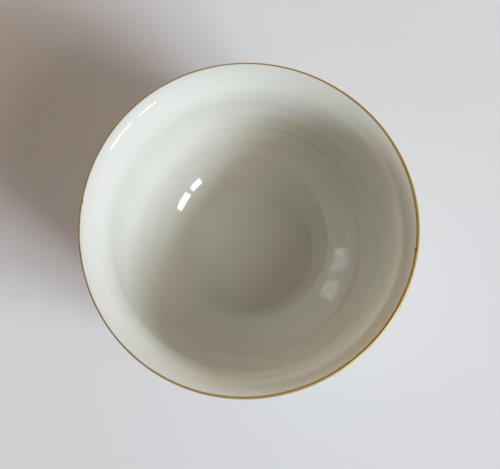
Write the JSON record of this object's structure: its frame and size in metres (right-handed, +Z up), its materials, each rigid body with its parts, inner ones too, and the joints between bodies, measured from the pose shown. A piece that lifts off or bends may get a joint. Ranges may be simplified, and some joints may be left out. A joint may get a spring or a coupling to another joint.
{
  "type": "porcelain bowl",
  "caption": "Deep white porcelain bowl with a flared gold-lined lip, a flat well and a turned foot ring; stands by its own weight.",
  "frame": {"origin": "on the turning axis, level with the surface that the foot ring stands on", "axes": "+Z up along the turning axis, out of the bowl's mouth; +X and +Y are any two square radii"},
  "size_m": [0.115, 0.115, 0.0647],
  "materials": {
    "porcelain": "clear gloss glaze over white porcelain, bare at the foot ring's edge, with a thin worn gold line on the lip"
  },
  "bodies": {
    "root": {"bowl": "porcelain"}
  },
  "joints": []
}
